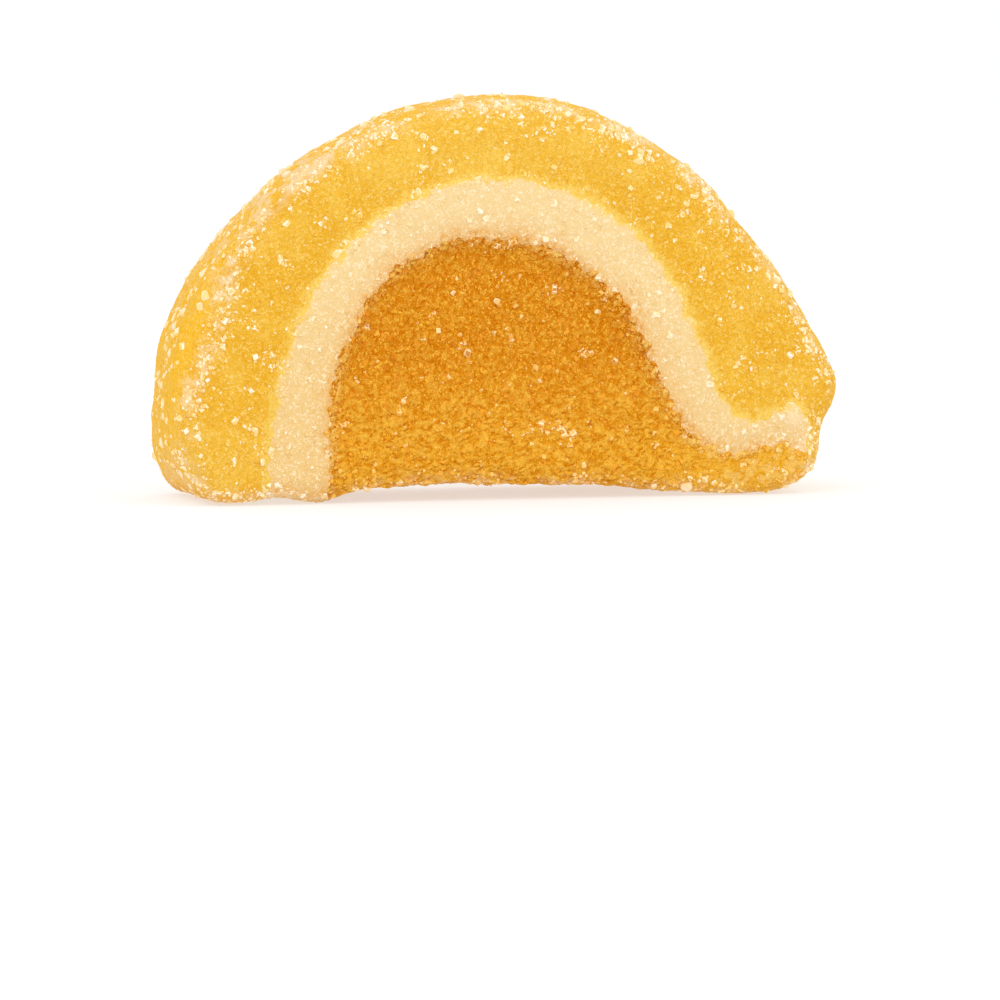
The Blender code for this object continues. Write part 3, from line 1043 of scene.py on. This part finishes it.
@dataclass
class SugarCoat:
    """Sugar crystals of one kind on one layer, each of them real mesh at its true size.

    The start of the piece's name is kind, and sunk is how much of its size a crystal sits below the surface.
    """

    kind: str
    layer: Layer
    tones: LayerTones
    look: SugarLook
    shape: CrystalShape
    sizes: Span
    sunk: float
    seed: int
    rarely_large: float = 2.5
    uneven: float = 0.15
    sunk_on_rind: float = 0.07

    def build(self, spots: SurfacePlaces, per_area: np.ndarray) -> bpy.types.Object:
        """Make the coat.

        Args:
            spots: Places on the slice.
            per_area: How many crystals a square millimetre each place should have.

        Returns:
            One mesh object with every crystal.
        """
        draw = np.random.default_rng(self.seed)
        own = spots.owners == list(Layer).index(self.layer)
        keep = own & (draw.random(len(own)) < spots.chance(per_area))
        places = spots.places[keep]
        normals = spots.normals[keep]
        count = len(places)
        smallest, largest = self.sizes
        sizes = smallest + (largest - smallest) * draw.random(count) ** self.rarely_large
        points = self.shape.points(count, draw) * sizes[:, None, None]
        points = np.einsum("nij,nkj->nki", turned_frames(count, draw), points)
        sunk = self.sunk + self.sunk_on_rind * (1.0 - spots.cut_face()[keep])
        rise = (draw.uniform(-self.uneven, self.uneven, count) - sunk) * sizes
        points += (places + normals * rise[:, None])[:, None, :]
        below = np.minimum(points[..., 2].min(axis=1), 0.0)
        points[..., 2] -= below[:, None]
        return self._mesh(points, places, draw)

    def _mesh(self, points: np.ndarray, places: np.ndarray, draw: np.random.Generator) -> bpy.types.Object:
        """Join crystals into one mesh object with their colours.

        Args:
            points: The vertices of each crystal, in millimetres.
            places: Where each crystal sits.
            draw: The random source.

        Returns:
            The mesh object.
        """
        count, each, _ = points.shape
        one = self.shape.faces()
        faces = [tuple(each * i + corner for corner in face) for i in range(count) for face in one]
        name = self.kind + self.layer.value
        mesh = bpy.data.meshes.new(name)
        mesh.from_pydata((points.reshape(-1, 3) * MM).tolist(), [], faces)
        mesh.update()
        plain = np.zeros(count)
        tones = self.tones.at(self.layer, places, plain, plain)
        edges = len(one) - len(BLOCK_SIDES)
        sides = draw.uniform(*self.look.side, (count, len(BLOCK_SIDES)))
        sides += draw.uniform(-self.look.darker, self.look.darker, (count, 1))
        shown = self.look.over(tones, np.hstack((sides, draw.uniform(*self.look.edge, (count, edges)))))
        sizes = np.tile([len(face) for face in one], count)
        add_tones(mesh, np.repeat(shown.reshape(-1, 4), sizes, axis=0), "CORNER")
        return link(name, mesh)


class NodeTable:
    """Short calls for building a node tree."""

    def __init__(self, tree: bpy.types.NodeTree) -> None:
        """Work on a tree."""
        self.tree = tree

    def feed(self, socket: bpy.types.NodeSocket, value: object) -> None:
        """Link an output to an input, or set the input to a number or a colour."""
        if isinstance(value, bpy.types.NodeSocket):
            self.tree.links.new(value, socket)
        else:
            socket.default_value = value

    def fill(self, node: bpy.types.Node, **inputs: object) -> bpy.types.Node:
        """Feed a node's inputs.

        Args:
            node: The node.
            **inputs: Outputs or values by socket name, with spaces in names as underscores.

        Returns:
            The node.
        """
        for name, value in inputs.items():
            self.feed(node.inputs[name.replace("_", " ")], value)
        return node

    def add(self, kind: str, **inputs: object) -> bpy.types.Node:
        """Return a new node of a kind, its ShaderNode name without that start, with its inputs fed."""
        return self.fill(self.tree.nodes.new("ShaderNode" + kind), **inputs)

    def group(self, tree: bpy.types.NodeTree, **inputs: object) -> bpy.types.Node:
        """Return a new node that holds a group, with its inputs fed."""
        made = self.add("Group")
        made.node_tree = tree
        return self.fill(made, **inputs)

    def number(self, operation: str, first: object, second: object) -> bpy.types.NodeSocket:
        """Add one sum.

        Args:
            operation: The sum's kind.
            first: A socket or a number.
            second: A socket or a number.

        Returns:
            The result's socket.
        """
        made = self.add("Math")
        made.operation = operation
        self.feed(made.inputs[0], first)
        self.feed(made.inputs[1], second)
        return made.outputs[0]

    def span(
        self, value: bpy.types.NodeSocket, low: float, high: float, start: float = 0.0, end: float = 1.0
    ) -> bpy.types.NodeSocket:
        """Map a value from one range to another, held at both ends.

        Args:
            value: The socket to map.
            low: The value that gives start.
            high: The value that gives end.
            start: The result at low.
            end: The result at high.

        Returns:
            The result's socket.
        """
        made = self.add("MapRange", Value=value, From_Min=low, From_Max=high, To_Min=start, To_Max=end)
        return made.outputs["Result"]

    def mix(self, share: object, first: object, second: object, way: str = "MIX") -> bpy.types.NodeSocket:
        """Mix two colours.

        Args:
            share: A socket or a number, 0 for the first colour and 1 for the second.
            first: A socket or a colour.
            second: A socket or a colour.
            way: The blend's kind.

        Returns:
            The result's socket.
        """
        made = self.add("Mix")
        made.data_type = "RGBA"
        made.blend_type = way
        # A Mix node has sockets for each kind of data. These are its colours, which share their names.
        factor, colour_a, colour_b, result = 0, 6, 7, 2
        for number, value in ((factor, share), (colour_a, first), (colour_b, second)):
            self.feed(made.inputs[number], value)
        return made.outputs[result]


class SharedEffects:
    """The node groups that more than one finish uses."""

    def __init__(self) -> None:
        """Build each group once."""
        self.sugar_skin = self._sugar_skin()
        self.jelly_tone = self._jelly_tone()

    @staticmethod
    def _new(
        name: str, takes: dict[str, str], gives: dict[str, str]
    ) -> tuple[bpy.types.NodeTree, NodeTable, bpy.types.bpy_prop_collection, bpy.types.Node]:
        """Start a group.

        Args:
            name: The group's name.
            takes: Kinds of its inputs by name.
            gives: Kinds of its outputs by name.

        Returns:
            The group, a node table, its inputs' sockets by name and its output node.
        """
        tree = bpy.data.node_groups.new(name, "ShaderNodeTree")
        for side, sockets in (("INPUT", takes), ("OUTPUT", gives)):
            for label, kind in sockets.items():
                tree.interface.new_socket(label, in_out=side, socket_type="NodeSocket" + kind)
        start = tree.nodes.new("NodeGroupInput")
        end = tree.nodes.new("NodeGroupOutput")
        return tree, NodeTable(tree), start.outputs, end

    def _sugar_skin(self) -> bpy.types.NodeTree:
        """Build the fine sugar that lies between the larger crystals.

        Returns:
            A group that gives the relief's height, the gaps and bright flecks.
        """
        takes = {"Grain Scale": "Float", "Fleck Scale": "Float"}
        gives = {"Height": "Float", "Gap": "Float", "Fleck": "Float"}
        tree, table, given, end = self._new("sugar_skin", takes, gives)
        place = table.add("TexCoord").outputs["Object"]
        grains = table.add(
            "TexNoise", Vector=place, Scale=given["Grain Scale"], Detail=2.0, Roughness=0.65, Distortion=1.1
        ).outputs["Fac"]
        flecks = table.add(
            "TexNoise", Vector=place, Scale=given["Fleck Scale"], Detail=1.0, Roughness=0.5, Distortion=0.5
        ).outputs["Fac"]
        height = table.number("ADD", grains, table.number("MULTIPLY", flecks, 0.6))
        gap = table.span(grains, 0.49, 0.36)
        fleck = table.span(table.number("ADD", grains, flecks), 1.04, 1.28)
        table.fill(end, Height=height, Gap=gap, Fleck=fleck)
        return tree

    def _jelly_tone(self) -> bpy.types.NodeTree:
        """Build the colour of jelly seen through sugar.

        Returns:
            A group that darkens the broad colour in the gaps between grains, as the deeper colour of bare
            jelly with painted shade, and pales it on sugar.
        """
        takes = {
            "Tone": "Color", "Sugar": "Color", "Depth": "Float", "Shade": "Color",
            "Gap": "Float", "Fleck": "Float", "Cloud": "Float", "Cloud Scale": "Float",
        }
        tree, table, given, end = self._new("jelly_tone", takes, {"Color": "Color"})
        place = table.add("TexCoord").outputs["Object"]
        clouds = table.add("TexNoise", Vector=place, Scale=given["Cloud Scale"], Detail=2.0, Roughness=0.5)
        deep = table.add("Gamma", Color=given["Tone"], Gamma=given["Depth"]).outputs["Color"]
        # Painted shade: the deep colour darkened further by the shade factor, for the gaps.
        shaded = table.mix(1.0, deep, given["Shade"], "MULTIPLY")
        cloud = table.number("MULTIPLY", table.span(clouds.outputs["Fac"], 0.35, 0.7), given["Cloud"])
        body = table.mix(table.number("MAXIMUM", given["Gap"], cloud), given["Tone"], shaded)
        table.fill(end, Color=table.mix(given["Fleck"], body, given["Sugar"]))
        return tree


@dataclass(frozen=True, kw_only=True)
class SugaredFinish:
    """Jelly or crystals with fine sugar on them, from soaked and dull to dry and glassy."""

    name: str
    sugar: Colour
    depth: float
    shade: float
    grain_scale: float
    fleck_scale: float
    gap: float
    cloud: float
    cloud_scale: float
    fleck: float
    roughness: float
    gap_roughness: float
    gloss: float
    ior: float
    bump: float = 0.0
    bump_height: float = 0.18

    def material(self, effects: SharedEffects) -> bpy.types.Material:
        """Build the material.

        Args:
            effects: The shared node groups.

        Returns:
            The material.
        """
        made = bpy.data.materials.new(self.name)
        made.use_nodes = True
        table = NodeTable(made.node_tree)
        shader = made.node_tree.nodes["Principled BSDF"]
        tone = table.add("Attribute")
        tone.attribute_name = "tone"
        skin = table.group(effects.sugar_skin, Grain_Scale=self.grain_scale, Fleck_Scale=self.fleck_scale)
        gaps, flecks, height = (skin.outputs[name] for name in ("Gap", "Fleck", "Height"))
        gap, depth = self._gaps(table, tone.outputs["Alpha"])
        colour = table.group(
            effects.jelly_tone,
            Tone=tone.outputs["Color"],
            Sugar=self.sugar,
            Depth=depth,
            Shade=(self.shade, self.shade, self.shade, 1.0),
            Gap=table.number("MULTIPLY", gaps, gap),
            Fleck=table.number("MULTIPLY", flecks, self.fleck),
            Cloud=self.cloud,
            Cloud_Scale=self.cloud_scale,
        )
        damp = table.span(gaps, 0.0, 1.0, self.roughness, self.roughness * self.gap_roughness)
        table.fill(shader, Base_Color=colour.outputs["Color"], Roughness=damp, IOR=self.ior)
        table.fill(shader, Specular_IOR_Level=self.gloss)
        if self.bump:
            bump = table.add("Bump", Height=height, Strength=self.bump, Distance=self.bump_height * MM)
            table.fill(shader, Normal=bump.outputs["Normal"])
        return made

    def _gaps(self, table: NodeTable, crumbled: bpy.types.NodeSocket) -> tuple[object, object]:
        """Return how dark the gaps are and how deep their colour is, before any crumbling."""
        return self.gap, self.depth


@dataclass(frozen=True, kw_only=True)
class JellyFinish(SugaredFinish):
    """Moist jelly with fine sugar on it, its gaps darker and deeper where it is crumbled, as painted shade
    between the crumbs.
    """

    cloud_scale: float = 420.0
    gap_roughness: float = 0.6
    ior: float = 1.45
    crumbled_depth: float = 0.9

    def _gaps(self, table: NodeTable, crumbled: bpy.types.NodeSocket) -> tuple[object, object]:
        """Return how dark the gaps are and how deep their colour is, by how crumbled the jelly is."""
        gap = table.span(crumbled, 0.0, 1.0, self.gap, 1.0)
        return gap, table.span(crumbled, 0.0, 1.0, self.depth, self.depth + self.crumbled_depth)


@dataclass(frozen=True, kw_only=True)
class CrystalFinish(SugaredFinish):
    """Sugar crystals, all alike but for how dry and glassy they are."""

    sugar: Colour = (1.0, 0.92, 0.75, 1.0)
    depth: float = 1.25
    shade: float = 0.92
    grain_scale: float = 5200.0
    fleck_scale: float = 9000.0
    gap: float = 0.5
    cloud: float = 0.3
    cloud_scale: float = 1500.0
    gap_roughness: float = 1.6
    ior: float = 1.54


@dataclass(frozen=True)
class Lamp:
    """One square lamp: its name, its place in metres, the length of its side and its power in watts."""

    name: str
    place: tuple[float, float, float]
    side: float
    power: float


@dataclass
class Studio:
    """The pale floor, the soft light and the camera."""

    scale: float = 17.0
    azimuth: float = -14.0
    elevation: float = 5.0
    lens: float = 600.0
    film: float = 36.0
    aim_right: float = 0.68
    aim_up: float = -0.38
    frame_pixels: float = 1000.0
    sky: float = 1.02
    floor_side: float = 3.0
    floor_grey: float = 0.45
    floor_glow: float = 0.56
    lamp_aim: tuple[float, float, float] = (0.0, 0.0, 0.011)
    lamps: tuple[Lamp, ...] = (
        Lamp("key", (-0.16, -0.30, 0.42), 0.30, 0.3),
        Lamp("fill", (0.34, -0.30, 0.16), 0.25, 0.135),
        Lamp("glint_left", (-0.22, -0.34, 0.20), 0.03, 0.105),
        Lamp("glint_right", (0.14, -0.30, 0.36), 0.03, 0.105),
    )

    def build(self) -> None:
        """Set up floor, light and camera."""
        self._floor()
        self._sky()
        for lamp in self.lamps:
            self._hang(lamp)
        self._camera()

    def _floor(self) -> None:
        """Lay a plain pale floor of milk glass, lit a little from below."""
        bpy.ops.mesh.primitive_plane_add(size=self.floor_side, location=(0.0, 0.0, 0.0))
        floor = bpy.context.object
        floor.name = "floor"
        made = bpy.data.materials.new("pale_floor")
        made.use_nodes = True
        NodeTable(made.node_tree).fill(
            made.node_tree.nodes["Principled BSDF"],
            Base_Color=(self.floor_grey, self.floor_grey, self.floor_grey, 1.0),
            Emission_Color=(1.0, 1.0, 1.0, 1.0),
            Emission_Strength=self.floor_glow,
            Roughness=0.9,
            Specular_IOR_Level=0.0,
        )
        floor.data.materials.append(made)

    def _sky(self) -> None:
        """Light the scene evenly from all round."""
        world = bpy.data.worlds.new("soft_room")
        world.use_nodes = True
        backdrop = world.node_tree.nodes["Background"]
        NodeTable(world.node_tree).fill(backdrop, Color=(1.0, 1.0, 1.0, 1.0), Strength=self.sky)
        bpy.context.scene.world = world

    def _hang(self, lamp: Lamp) -> None:
        """Hang one lamp that points at the slice.

        Args:
            lamp: The lamp.
        """
        light = bpy.data.lights.new(lamp.name, "AREA")
        light.shape = "SQUARE"
        light.size = lamp.side
        light.energy = lamp.power
        hung = link(lamp.name, light)
        hung.location = lamp.place
        towards = Vector(self.lamp_aim) - Vector(lamp.place)
        hung.rotation_euler = towards.to_track_quat("-Z", "Y").to_euler()

    def _camera(self) -> None:
        """Stand the camera where the photograph was taken from."""
        turn = math.radians(self.azimuth)
        tilt = math.radians(self.elevation)
        away = Vector((math.sin(turn) * math.cos(tilt), -math.cos(turn) * math.cos(tilt), math.sin(tilt)))
        right = Vector((math.cos(turn), math.sin(turn), 0.0))
        upwards = right.cross(-away)
        width = self.frame_pixels / self.scale * MM
        distance = self.lens / self.film * width
        aim = (right * self.aim_right + upwards * self.aim_up) * MM
        camera = bpy.data.cameras.new("camera")
        camera.lens = self.lens
        camera.sensor_width = self.film
        camera.clip_start = 0.01
        stood = link("camera", camera)
        stood.location = aim + away * distance
        stood.rotation_euler = (-away).to_track_quat("-Z", "Y").to_euler()
        bpy.context.scene.camera = stood
        bpy.context.scene.view_settings.view_transform = "Standard"


@dataclass
class OrangeSlice:
    """The whole slice: three layers of jelly and the sugar on each."""

    form: SliceForm = field(default_factory=SliceForm)
    mesh_steps: dict[Layer, float] = field(
        default_factory=lambda: {Layer.PEEL: 0.145, Layer.PITH: 0.12, Layer.FLESH: 0.105}
    )
    crystal_spacing: float = 0.2
    seed: int = 12
    tones: LayerTones = field(init=False)
    effects: SharedEffects = field(init=False)
    spots: SurfacePlaces = field(init=False)
    made: list[bpy.types.Object] = field(default_factory=list)

    def build(self) -> None:
        """Build every piece and tie it to the frame."""
        self.tones = LayerTones(self.form)
        self.effects = SharedEffects()
        for layer, finish in self._jelly_finishes().items():
            block = JellyBlock(self.form, self.tones, SkinRelief(self.form), self.mesh_steps[layer])
            block.build()
            piece = block.cut(layer)
            piece.data.materials.clear()
            self._finish(piece, finish.material(self.effects))
            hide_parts(layer.value)
            if layer is Layer.PEEL:
                self.spots = self._spots(block)
            bpy.data.objects.remove(block.block)
        self._soaked_sugar()
        self._crumbs()
        self._clear_sugar()

    def _finish(self, piece: bpy.types.Object, material: bpy.types.Material) -> None:
        """Dress a piece, move it to the frame's origin and tie it to its body.

        Args:
            piece: The piece.
            material: What it is dressed in.
        """
        piece.data.materials.append(material)
        piece.data.transform(Matrix.Translation((self.form.middle_shift * MM, 0.0, 0.0)))
        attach(piece, "root")
        self.made.append(piece)
        LOG.info("%s: %d faces", piece.name, len(piece.data.polygons))

    def _spots(self, block: JellyBlock) -> SurfacePlaces:
        """Spread places over the block and tell which layer each is on.

        Args:
            block: The block, with the edges of its layers.

        Returns:
            The places.
        """
        places, normals = block.surface_samples(self.crystal_spacing, self.seed)
        x, _, z = places.T
        in_pith = DepthMap(block.pith_edge).at(x, z)
        in_flesh = DepthMap(block.flesh_edge).at(x, z)
        in_slice = self.form.slice_depth.at(x, z)
        layers = list(Layer)
        inner = np.where(in_pith > 0.0, layers.index(Layer.PITH), layers.index(Layer.PEEL))
        owners = np.where(in_flesh > 0.0, layers.index(Layer.FLESH), inner)
        found = (places, normals, owners, in_slice, in_flesh, in_pith)
        return SurfacePlaces(self.form, *found, self.crystal_spacing)

    @staticmethod
    def _jelly_finishes() -> dict[Layer, JellyFinish]:
        """Return each layer's jelly finish."""
        return {
            Layer.PEEL: JellyFinish(
                name="peel_jelly", sugar=(0.96, 0.72, 0.26, 1.0), depth=1.3, shade=0.94, grain_scale=4400.0,
                fleck_scale=7920.0, gap=0.6, cloud=0.15, fleck=0.6, bump=0.6, roughness=0.4, gloss=0.01,
            ),
            Layer.PITH: JellyFinish(
                name="pith_jelly", sugar=(0.98, 0.86, 0.62, 1.0), depth=1.2, shade=0.97, grain_scale=4200.0,
                fleck_scale=7560.0, gap=0.4, cloud=0.15, fleck=0.62, bump=0.42, roughness=0.5, gloss=0.02,
            ),
            Layer.FLESH: JellyFinish(
                name="flesh_jelly", sugar=(0.96, 0.52, 0.06, 1.0), depth=1.25, shade=0.94, grain_scale=4600.0,
                fleck_scale=8280.0, gap=1.0, cloud=0.25, fleck=1.0, bump=0.8, roughness=0.35, gloss=0.015,
            ),
        }

    def _coat(self, coat: SugarCoat, per_area: np.ndarray, material: bpy.types.Material) -> None:
        """Add one coat of crystals.

        Args:
            coat: The coat.
            per_area: How many crystals a square millimetre each place should have.
            material: What the crystals are dressed in.
        """
        self._finish(coat.build(self.spots, per_area), material)

    def _soaked_sugar(self) -> None:
        """Add the sugar that the jelly has soaked: grit, fine sugar on rims and faces, lumps on the rind."""
        spots = self.spots
        x, _, z = spots.places.T
        gathered = spots.gathered(scale=0.7, shift=50.0, low=-0.25, high=0.45)
        grit_spread = (0.3 + gathered) * (0.12 + 0.88 * spots.cut_face())
        along_pith = 3.0 * hump(spots.in_pith, 0.0, 0.4)
        scattered = 0.25 + spots.gathered(scale=1.0, shift=97.0, low=0.0, high=0.5)
        dusted = scattered * (1.0 + 2.5 * self.form.corner(spots.places)) * spots.cut_face()
        left_end = Swelling(1.2, 172.0, 24.0).at(self.form.angle_of(x, z))
        on_rind = 0.33 * (1.0 - spots.cut_face()) * (0.3 + gathered + left_end)
        grain = CrystalShape()
        block = CrystalShape(uneven=0.09, slimmest=0.8, longest=1.15, tip=0.75)
        lump = CrystalShape(uneven=0.1, slimmest=0.8, longest=1.15, tip=0.75, edge_cut=0.4)
        rind = SugarLook((0.97, 0.84, 0.66, 1.0), side=(0.55, 0.95), edge=(0.55, 0.95))
        finish = CrystalFinish(name="soaked_sugar", roughness=0.3, gloss=0.1, fleck=0.05)
        material = finish.material(self.effects)
        kinds = {
            Layer.PEEL: (2.2, (0.97, 0.80, 0.42, 1.0), 0.16, (0.99, 0.88, 0.68, 1.0), 7.0, 0.7, (5, 8, 11)),
            Layer.PITH: (2.4, (0.98, 0.86, 0.62, 1.0), 0.05, (0.99, 0.90, 0.72, 1.0), 6.0, 0.8, (6, 9, 12)),
            Layer.FLESH: (5.0, (0.96, 0.58, 0.10, 1.0), 0.2, (0.98, 0.74, 0.34, 1.0), 4.5, 0.6, (7, 10, 13)),
        }
        for layer, (number, pale, darker, white, at_rim, on_face, seeds) in kinds.items():
            look = SugarLook(pale, side=(0.0, 0.45), edge=(0.0, 0.45), darker=darker)
            grit = SugarCoat("grit_", layer, self.tones, look, grain, (0.1, 0.28), 0.32, seeds[0])
            self._coat(grit, number * grit_spread + along_pith, material)
            look = SugarLook(white, side=(0.4, 1.0), edge=(0.4, 1.0))
            fine = SugarCoat("fine_sugar_", layer, self.tones, look, block, (0.1, 0.3), 0.3, seeds[1])
            self._coat(fine, at_rim * spots.rim() + on_face * dusted, material)
            lumps = SugarCoat("rind_sugar_", layer, self.tones, rind, lump, (0.28, 0.72), 0.3, seeds[2])
            self._coat(lumps, on_rind, material)

    def _crumbs(self) -> None:
        """Add the crumbs of jelly and sugar along the edge between pith and flesh."""
        edge = hump(self.spots.in_flesh, 0.05, 0.45) * (0.35 + 0.65 * self.spots.cut_face())
        shape = CrystalShape(uneven=0.2, slimmest=0.45, longest=1.3, tip=0.6)
        finish = CrystalFinish(name="crumbs", roughness=0.3, gloss=0.1, fleck=0.1)
        material = finish.material(self.effects)
        kinds = {
            Layer.PITH: ((0.88, 0.52, 0.13, 1.0), (0.1, 0.9), 0.1, 7.0, 25),
            Layer.FLESH: ((0.95, 0.57, 0.12, 1.0), (-0.25, 0.9), 0.3, 16.0, 26),
        }
        for layer, (pale, shares, darker, number, seed) in kinds.items():
            look = SugarLook(pale, side=shares, edge=shares, darker=darker, warmth=(1.0, 1.0, 1.0))
            crumbs = SugarCoat("crumbs_", layer, self.tones, look, shape, (0.1, 0.24), sunk=0.25, seed=seed)
            self._coat(crumbs, number * edge, material)

    def _clear_sugar(self) -> None:
        """Add the clear crystals that stand out white, their cut-off edges paler as painted highlights where
        they glint.
        """
        spots = self.spots
        gathered = spots.gathered(scale=0.8, shift=80.0, low=0.28, high=0.5)
        in_clumps = spots.gathered(scale=1.1, shift=84.0, low=0.46, high=0.56)
        in_rows = spots.gathered(scale=0.5, shift=99.0, low=0.0, high=0.4)
        along_pith = 3.0 * (hump(spots.in_pith, 0.0, 0.3) * in_rows)
        corner = self.form.corner(spots.places)
        hook = ease(spots.places[:, 0], *self.form.hook_end)
        white = (1.0, 0.95, 0.87, 1.0)
        amber = (1.0, 0.87, 0.60, 1.0)
        shape = CrystalShape(uneven=0.18, slimmest=0.6, longest=1.3, tip=0.6, edge_cut=0.4)
        finish = CrystalFinish(name="clear_sugar", roughness=0.12, gloss=0.4, fleck=0.3)
        material = finish.material(self.effects)
        kinds = {
            Layer.PEEL: (white, (0.05, 0.7), 0.25 + 5.0 * gathered, 4.0, 15),
            Layer.PITH: (white, (0.05, 0.75), 0.4 + (gathered + 1.5 * hook), 2.5, 16),
            Layer.FLESH: (amber, (-0.1, 0.5), 0.1 + (8.0 * in_clumps + corner), 0.8, 17),
        }
        for layer, (pale, shares, number, at_rim, seed) in kinds.items():
            # Edges paler than the sides: painted highlights where the clear crystals glint.
            look = SugarLook(pale, side=shares, edge=(0.45, 1.0))
            clear = SugarCoat("sugar_", layer, self.tones, look, shape, (0.15, 0.46), sunk=0.28, seed=seed)
            self._coat(clear, number + at_rim * spots.rim() + along_pith, material)


def main() -> None:
    """Build the slice and its studio, and report each piece."""
    logging.basicConfig(level=logging.INFO, format="%(name)s: %(message)s")
    whole = OrangeSlice()
    whole.build()
    Studio().build()
    LOG.info("%d pieces", len(whole.made))


if __name__ == "__main__":
    main()
